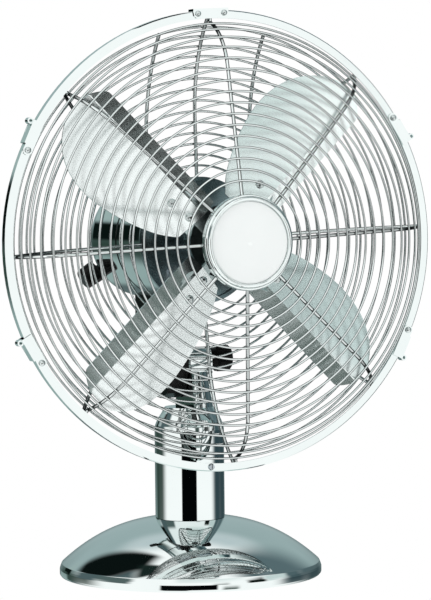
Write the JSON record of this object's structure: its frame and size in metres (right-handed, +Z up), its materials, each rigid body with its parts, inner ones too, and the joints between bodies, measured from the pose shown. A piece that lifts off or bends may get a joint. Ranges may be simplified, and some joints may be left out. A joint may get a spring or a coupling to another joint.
{
  "type": "desk fan",
  "caption": "Oscillating desk fan: chromed dome base and column, tilting clamp neck, round wire guard with swing clips, paddle blades and a push-pull swing clutch.",
  "frame": {"origin": "middle of the base, on the surface it stands on", "axes": "+Z up along the column, -Y the way the fan blows, +X the side of the tilt knob"},
  "size_m": [0.34, 0.2327, 0.4277],
  "materials": {
    "chrome": "bright chrome plate",
    "chromed_wire": "chrome-plated drawn wire, welded",
    "black_plate": "black stoved paint on pressed steel",
    "cast_iron": "rough sand casting",
    "rubber": "moulded black rubber",
    "zinc_steel": "bright zinc plate",
    "bright_rivet": "polished rivet heads",
    "black_plastic": "moulded black plastic",
    "black_paint": "gloss black paint on a casting",
    "brass": "sintered bronze and turned brass",
    "lamination": "stacked electrical steel",
    "copper": "varnished copper wire",
    "shaft_steel": "ground steel",
    "blade_aluminium": "polished aluminium sheet",
    "spider_steel": "polished steel plate",
    "white_enamel": "bare white enamel",
    "backing_steel": "black paint"
  },
  "bodies": {
    "stand": {"base_cover": "chrome", "base_plate": "black_plate", "base_weight": "cast_iron", "base_feet": "rubber", "base_screws": "zinc_steel", "cord_grommet": "rubber", "column_tube": "chrome", "tie_rod": "zinc_steel", "tie_nut": "zinc_steel", "neck": "chrome", "tilt_bolt": "zinc_steel", "tilt_washer": "zinc_steel"},
    "tilt_clamp": {"tilt_knob": "black_plastic", "knob_insert": "brass"},
    "bracket": {"tilt_bracket": "black_paint", "pivot_bush": "brass"},
    "head": {"gearbox_case": "black_paint", "pivot_pin": "zinc_steel", "pivot_clip": "zinc_steel", "motor_front": "chrome", "motor_rear": "chrome", "motor_band": "black_plastic", "motor_screws": "zinc_steel", "stator_core": "lamination", "stator_windings": "copper", "front_bearing": "brass", "rear_bearing": "brass", "speed_switch": "black_plastic", "rear_cap": "chrome", "rear_plate": "zinc_steel", "plate_screws": "zinc_steel", "rear_guard": "chromed_wire", "front_guard": "chromed_wire", "guard_hoop": "chrome", "hook_plate": "chrome", "hook_rivets": "bright_rivet", "clip_rivets": "bright_rivet", "hoop_screw": "zinc_steel", "hoop_nut": "zinc_steel", "badge_bezel": "chrome", "badge_disc": "white_enamel", "badge_backing": "backing_steel"},
    "clutch": {"clutch_rod": "zinc_steel", "clutch_knob": "black_plastic"},
    "speed": {"speed_knob": "black_plastic"},
    "rotor": {"motor_shaft": "shaft_steel", "rotor_core": "lamination", "blade_spider": "spider_steel", "blades": "blade_aluminium", "blade_rivets": "bright_rivet", "hub_nut": "chrome"},
    "clip_left_high": {"clip_left_high": "chrome"},
    "clip_left_low": {"clip_left_low": "chrome"},
    "clip_right_high": {"clip_right_high": "chrome"},
    "clip_right_low": {"clip_right_low": "chrome"}
  },
  "joints": [
    {"name": "tilt", "type": "hinge", "parent": "stand", "child": "bracket", "pos_m": [0, 0, 0.165], "axis": [1, 0, 0], "range_deg": [-22, 4]},
    {"name": "tilt_knob_turn", "type": "hinge", "parent": "stand", "child": "tilt_clamp", "pos_m": [0.025, 0, 0.165], "axis": [1, 0, 0], "range_deg": [-180, 180]},
    {"name": "oscillation", "type": "hinge", "parent": "bracket", "child": "head", "pos_m": [0, 0.03, 0.185], "axis": [0, 0, 1], "range_deg": [-40, 40]},
    {"name": "clutch_lift", "type": "slide", "parent": "head", "child": "clutch", "axis": [0, 0, 1], "range_m": [0, 0.005]},
    {"name": "speed_turn", "type": "hinge", "parent": "head", "child": "speed", "pos_m": [-0.0424, 0.09, 0.2295], "axis": [-0.848, 0, -0.5299], "range_deg": [0, 120]},
    {"name": "rotor_spin", "type": "hinge", "parent": "head", "child": "rotor", "pos_m": [0, 0, 0.256], "axis": [0, 1, 0], "continuous": true},
    {"name": "clip_left_high_swing", "type": "hinge", "parent": "head", "child": "clip_left_high", "pos_m": [-0.15238, -0.0708, 0.32384], "axis": [0, -1, 0], "range_deg": [0, 70]},
    {"name": "clip_left_low_swing", "type": "hinge", "parent": "head", "child": "clip_left_low", "pos_m": [-0.14387, -0.0708, 0.17159], "axis": [0, -1, 0], "range_deg": [0, 70]},
    {"name": "clip_right_high_swing", "type": "hinge", "parent": "head", "child": "clip_right_high", "pos_m": [0.13989, -0.0708, 0.34685], "axis": [0, -1, 0], "range_deg": [0, 70]},
    {"name": "clip_right_low_swing", "type": "hinge", "parent": "head", "child": "clip_right_low", "pos_m": [0.15142, -0.0708, 0.18604], "axis": [0, -1, 0], "range_deg": [0, 70]}
  ]
}
